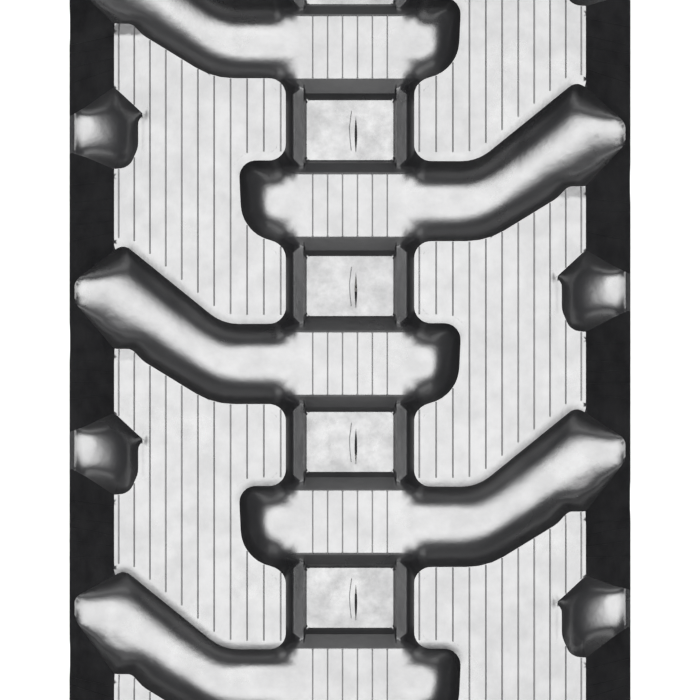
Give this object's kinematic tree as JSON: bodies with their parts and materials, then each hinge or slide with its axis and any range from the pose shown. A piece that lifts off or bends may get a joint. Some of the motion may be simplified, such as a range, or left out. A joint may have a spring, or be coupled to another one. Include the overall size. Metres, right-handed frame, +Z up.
{
  "type": "rubber track",
  "caption": "Endless rubber crawler track: staggered block tread, webbed sprocket windows, steel cords and forged cores with twin guide horns, as a free-standing loop that flexes.",
  "frame": {"origin": "centre of the loop's footprint, on the ground under the lower run's tread", "axes": "+X across the track, +Y along the straight runs towards the front end, +Z up from the ground to the upper run"},
  "size_m": [0.32, 2.1464, 0.5253],
  "materials": {
    "belt_rubber": "moulded black rubber with a dull sheen",
    "tread_rubber": "new moulded black tread rubber, glossy from the mould",
    "core_steel": "forged steel with dark scale",
    "cord_steel": "brass-coated stranded wire"
  },
  "bodies": {
    "bottom_run": {"belt_bottom_run": "belt_rubber", "tread_bottom_run": "tread_rubber", "cores_bottom_run": "core_steel", "cords_bottom_run": "cord_steel"},
    "top_run": {"belt_top_run": "belt_rubber", "tread_top_run": "tread_rubber", "cores_top_run": "core_steel", "cords_top_run": "cord_steel"},
    "front_2": {"belt_front_2": "belt_rubber", "tread_front_2": "tread_rubber", "cores_front_2": "core_steel", "cords_front_2": "cord_steel"},
    "front_3": {"belt_front_3": "belt_rubber", "tread_front_3": "tread_rubber", "cores_front_3": "core_steel", "cords_front_3": "cord_steel"},
    "front_4": {"belt_front_4": "belt_rubber", "tread_front_4": "tread_rubber", "cores_front_4": "core_steel", "cords_front_4": "cord_steel"},
    "front_5": {"belt_front_5": "belt_rubber", "tread_front_5": "tread_rubber", "cores_front_5": "core_steel", "cords_front_5": "cord_steel"},
    "front_6": {"belt_front_6": "belt_rubber", "tread_front_6": "tread_rubber", "cores_front_6": "core_steel", "cords_front_6": "cord_steel"},
    "front_7": {"belt_front_7": "belt_rubber", "tread_front_7": "tread_rubber", "cores_front_7": "core_steel", "cords_front_7": "cord_steel"},
    "rear_2": {"belt_rear_2": "belt_rubber", "tread_rear_2": "tread_rubber", "cores_rear_2": "core_steel", "cords_rear_2": "cord_steel"},
    "rear_3": {"belt_rear_3": "belt_rubber", "tread_rear_3": "tread_rubber", "cores_rear_3": "core_steel", "cords_rear_3": "cord_steel"},
    "rear_4": {"belt_rear_4": "belt_rubber", "tread_rear_4": "tread_rubber", "cores_rear_4": "core_steel", "cords_rear_4": "cord_steel"},
    "rear_5": {"belt_rear_5": "belt_rubber", "tread_rear_5": "tread_rubber", "cores_rear_5": "core_steel", "cords_rear_5": "cord_steel"},
    "rear_6": {"belt_rear_6": "belt_rubber", "tread_rear_6": "tread_rubber", "cores_rear_6": "core_steel", "cords_rear_6": "cord_steel"},
    "rear_7": {"belt_rear_7": "belt_rubber", "tread_rear_7": "tread_rubber", "cores_rear_7": "core_steel", "cords_rear_7": "cord_steel"}
  },
  "joints": [
    {"name": "loop_height", "type": "slide", "parent": "bottom_run", "child": "top_run", "axis": [0, 0, 1], "range_m": [-0.02, 0.02], "stiffness_N_per_m": 15000, "springref_m": 0.04},
    {"name": "front_bend_2", "type": "hinge", "parent": "top_run", "child": "front_2", "pos_m": [0, 0.89827, 0.47577], "axis": [-1, 0, 0], "range_deg": [-5.74, 5.74], "stiffness_Nm_per_rad": 300},
    {"name": "front_bend_3", "type": "hinge", "parent": "front_2", "child": "front_3", "pos_m": [0, 0.9731, 0.42577], "axis": [-1, 0, 0], "range_deg": [-2.87, 2.87], "stiffness_Nm_per_rad": 300},
    {"name": "front_bend_4", "type": "hinge", "parent": "front_3", "child": "front_4", "pos_m": [0, 1.0231, 0.35093], "axis": [-1, 0, 0], "range_deg": [-2.87, 2.87], "stiffness_Nm_per_rad": 300},
    {"name": "front_bend_8", "type": "hinge", "parent": "bottom_run", "child": "front_7", "pos_m": [0, 0.89827, 0.04956], "axis": [1, 0, 0], "range_deg": [-5.74, 5.74], "stiffness_Nm_per_rad": 300},
    {"name": "front_bend_7", "type": "hinge", "parent": "front_7", "child": "front_6", "pos_m": [0, 0.9731, 0.09956], "axis": [1, 0, 0], "range_deg": [-2.87, 2.87], "stiffness_Nm_per_rad": 300},
    {"name": "front_bend_6", "type": "hinge", "parent": "front_6", "child": "front_5", "pos_m": [0, 1.0231, 0.17439], "axis": [1, 0, 0], "range_deg": [-2.87, 2.87], "stiffness_Nm_per_rad": 300},
    {"name": "rear_bend_8", "type": "hinge", "parent": "top_run", "child": "rear_7", "pos_m": [0, -0.89827, 0.47577], "axis": [1, 0, 0], "range_deg": [-5.74, 5.74], "stiffness_Nm_per_rad": 300},
    {"name": "rear_bend_7", "type": "hinge", "parent": "rear_7", "child": "rear_6", "pos_m": [0, -0.9731, 0.42577], "axis": [1, 0, 0], "range_deg": [-2.87, 2.87], "stiffness_Nm_per_rad": 300},
    {"name": "rear_bend_6", "type": "hinge", "parent": "rear_6", "child": "rear_5", "pos_m": [0, -1.0231, 0.35093], "axis": [1, 0, 0], "range_deg": [-2.87, 2.87], "stiffness_Nm_per_rad": 300},
    {"name": "rear_bend_2", "type": "hinge", "parent": "bottom_run", "child": "rear_2", "pos_m": [0, -0.89827, 0.04956], "axis": [-1, 0, 0], "range_deg": [-5.74, 5.74], "stiffness_Nm_per_rad": 300},
    {"name": "rear_bend_3", "type": "hinge", "parent": "rear_2", "child": "rear_3", "pos_m": [0, -0.9731, 0.09956], "axis": [-1, 0, 0], "range_deg": [-2.87, 2.87], "stiffness_Nm_per_rad": 300},
    {"name": "rear_bend_4", "type": "hinge", "parent": "rear_3", "child": "rear_4", "pos_m": [0, -1.0231, 0.17439], "axis": [-1, 0, 0], "range_deg": [-2.87, 2.87], "stiffness_Nm_per_rad": 300}
  ],
  "couplings": [
    {"joint": "front_bend_2", "follows": "loop_height", "rad_per_m": 5.0084},
    {"joint": "front_bend_3", "follows": "loop_height", "rad_per_m": -2.5042},
    {"joint": "front_bend_4", "follows": "loop_height", "rad_per_m": -2.5042},
    {"joint": "front_bend_8", "follows": "loop_height", "rad_per_m": 5.0084},
    {"joint": "front_bend_7", "follows": "loop_height", "rad_per_m": -2.5042},
    {"joint": "front_bend_6", "follows": "loop_height", "rad_per_m": -2.5042},
    {"joint": "rear_bend_8", "follows": "loop_height", "rad_per_m": 5.0084},
    {"joint": "rear_bend_7", "follows": "loop_height", "rad_per_m": -2.5042},
    {"joint": "rear_bend_6", "follows": "loop_height", "rad_per_m": -2.5042},
    {"joint": "rear_bend_2", "follows": "loop_height", "rad_per_m": 5.0084},
    {"joint": "rear_bend_3", "follows": "loop_height", "rad_per_m": -2.5042},
    {"joint": "rear_bend_4", "follows": "loop_height", "rad_per_m": -2.5042}
  ]
}
